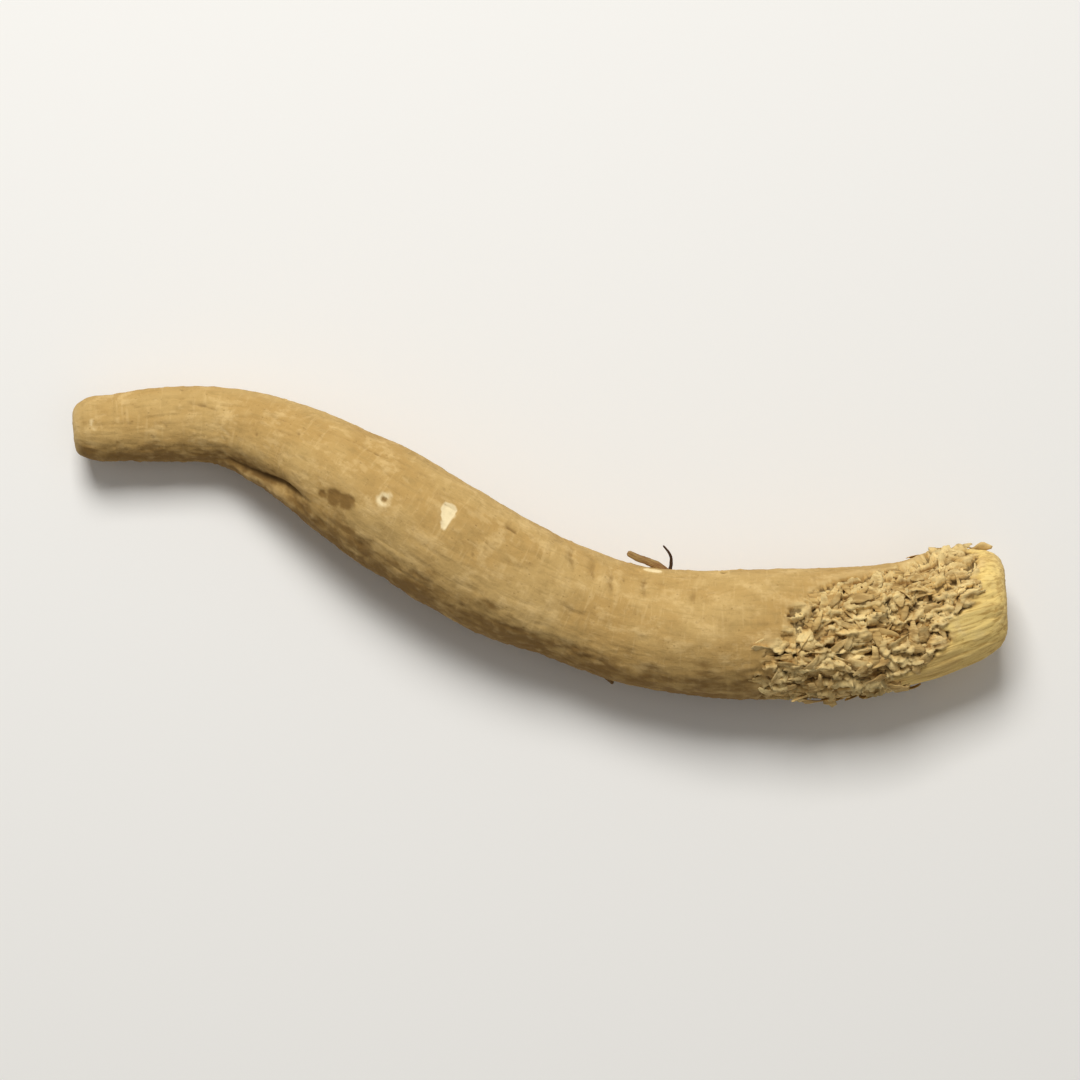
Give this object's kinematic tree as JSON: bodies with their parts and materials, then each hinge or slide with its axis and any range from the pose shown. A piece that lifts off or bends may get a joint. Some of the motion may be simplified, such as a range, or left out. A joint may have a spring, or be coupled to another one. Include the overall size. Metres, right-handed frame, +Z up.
{
  "type": "ashwagandha root",
  "caption": "Dried ashwagandha root, a bent tapering taproot with a blunt cut tip, a torn flaky crown and short rootlet stubs, lying on its side.",
  "frame": {"origin": "middle of the root's box in plan, on the surface that it lies on", "axes": "+X along the root from the thin cut tip to the thick torn crown, +Z up from the surface"},
  "size_m": [0.0978, 0.0332, 0.014],
  "materials": {
    "root_skin": "dry dusty tan skin, matt, with paler torn fibres at the crown"
  },
  "bodies": {
    "root": {"root": "root_skin"}
  },
  "joints": []
}
